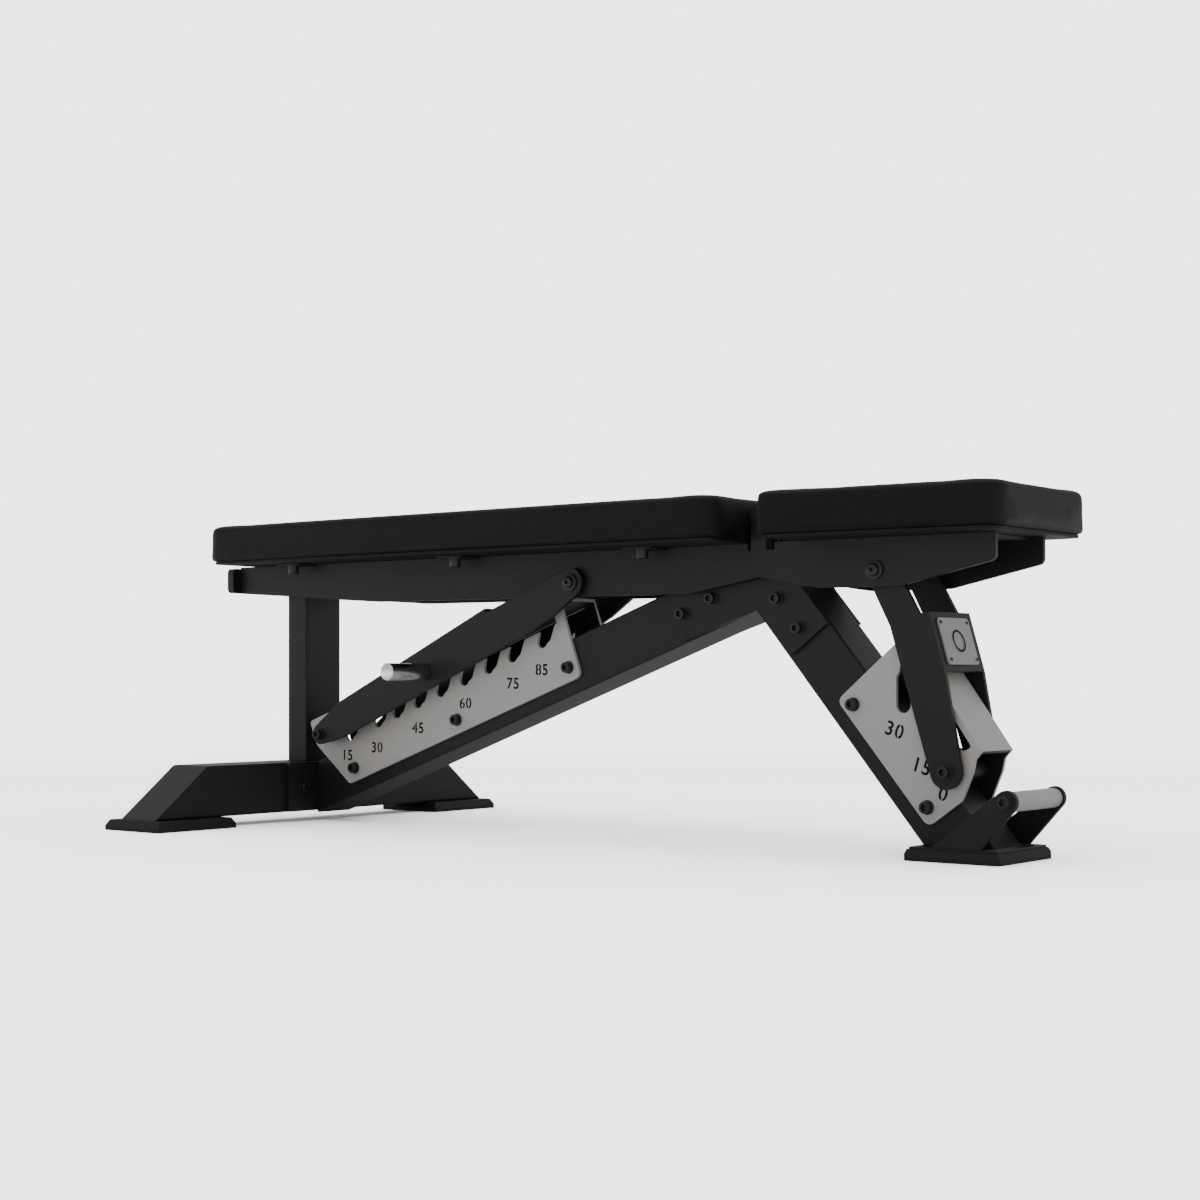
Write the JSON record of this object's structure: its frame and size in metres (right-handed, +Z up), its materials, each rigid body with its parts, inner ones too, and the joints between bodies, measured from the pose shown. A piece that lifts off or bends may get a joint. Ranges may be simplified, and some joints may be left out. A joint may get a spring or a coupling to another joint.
{
  "type": "adjustable weight bench",
  "caption": "Adjustable weight bench with a tilting backrest and seat, each held by a folded strut in a toothed ladder on a box tube frame.",
  "frame": {"origin": "on the floor under the middle of the bench, in its plane of symmetry", "axes": "+X along the bench towards the seat's front, +Y across it to its right side, +Z up"},
  "size_m": [1.359, 0.713, 0.4473],
  "materials": {
    "black_powder_coat": "fine satin black powder coat",
    "grey_powder_coat": "satin warm grey powder coat",
    "handle_powder_coat": "satin cool grey powder coat",
    "vinyl": "soft matt black grained vinyl",
    "board": "black painted plywood",
    "foot_rubber": "matt moulded rubber",
    "black_steel": "black oxide steel",
    "brushed_steel": "brushed bright steel"
  },
  "bodies": {
    "base": {"rear_cross_tube": "black_powder_coat", "rear_foot_left": "foot_rubber", "rear_foot_right": "foot_rubber", "spine_flange": "black_powder_coat", "flange_bolt_left": "black_steel", "flange_bolt_right": "black_steel", "rear_post": "black_powder_coat", "post_buffer": "foot_rubber", "spine_tube": "black_powder_coat", "front_leg_tube": "black_powder_coat", "elbow_gusset_left": "black_powder_coat", "elbow_gusset_right": "black_powder_coat", "gusset_bolt_1": "black_steel", "gusset_bolt_2": "black_steel", "gusset_bolt_3": "black_steel", "gusset_bolt_4": "black_steel", "rear_ladder": "grey_powder_coat", "front_ladder": "grey_powder_coat", "rear_ladder_bolt_1": "black_steel", "rear_ladder_bolt_2": "black_steel", "rear_ladder_bolt_3": "black_steel", "front_ladder_bolt_1": "black_steel", "front_ladder_bolt_2": "black_steel", "front_foot": "foot_rubber", "front_sole_plate": "black_powder_coat", "handle_cheek_left": "black_powder_coat", "handle_cheek_right": "black_powder_coat", "lift_handle": "handle_powder_coat", "handle_bolt": "black_steel", "hinge_barrel": "black_powder_coat", "hinge_spacer_left": "black_steel", "hinge_spacer_right": "black_steel", "hinge_axle": "black_steel"},
    "backrest": {"backrest_side_plate_left": "black_powder_coat", "backrest_side_plate_right": "black_powder_coat", "backrest_end_plate": "black_powder_coat", "backrest_strap_rear": "black_powder_coat", "backrest_strap_middle": "black_powder_coat", "backrest_strap_front": "black_powder_coat", "backrest_board": "board", "backrest_pad": "vinyl", "backrest_cross_tube": "black_powder_coat", "backrest_strut_axle": "black_steel"},
    "backrest_strut": {"backrest_strut": "black_powder_coat", "backrest_ladder_pin_left": "black_steel", "backrest_ladder_pin_right": "black_steel", "strut_grip_left": "brushed_steel", "strut_grip_right": "brushed_steel"},
    "seat": {"seat_side_plate_left": "black_powder_coat", "seat_side_plate_right": "black_powder_coat", "seat_strap_rear": "black_powder_coat", "seat_strap_front": "black_powder_coat", "seat_strut_axle": "black_steel", "seat_board": "board", "seat_pad": "vinyl"},
    "seat_strut": {"seat_strut": "black_powder_coat", "seat_ladder_pin_left": "black_steel", "seat_ladder_pin_right": "black_steel", "badge_plate": "grey_powder_coat"}
  },
  "joints": [
    {"name": "backrest_hinge", "type": "hinge", "parent": "base", "child": "backrest", "pos_m": [0.31, 0, 0.425], "axis": [0, 1, 0], "range_deg": [0, 85]},
    {"name": "backrest_strut_hinge", "type": "hinge", "parent": "backrest", "child": "backrest_strut", "pos_m": [0.003, 0, 0.348], "axis": [0, -1, 0], "range_deg": [0, 120]},
    {"name": "seat_hinge", "type": "hinge", "parent": "base", "child": "seat", "pos_m": [0.31, 0, 0.425], "axis": [0, -1, 0], "range_deg": [0, 30]},
    {"name": "seat_strut_hinge", "type": "hinge", "parent": "seat", "child": "seat_strut", "pos_m": [0.4795, 0, 0.3503], "axis": [0, 1, 0], "range_deg": [0, 48]}
  ],
  "couplings": [
    {"joint": "backrest_strut_hinge", "follows": "backrest_hinge", "ratio": 1.4082},
    {"joint": "seat_strut_hinge", "follows": "seat_hinge", "ratio": 1.5947}
  ]
}
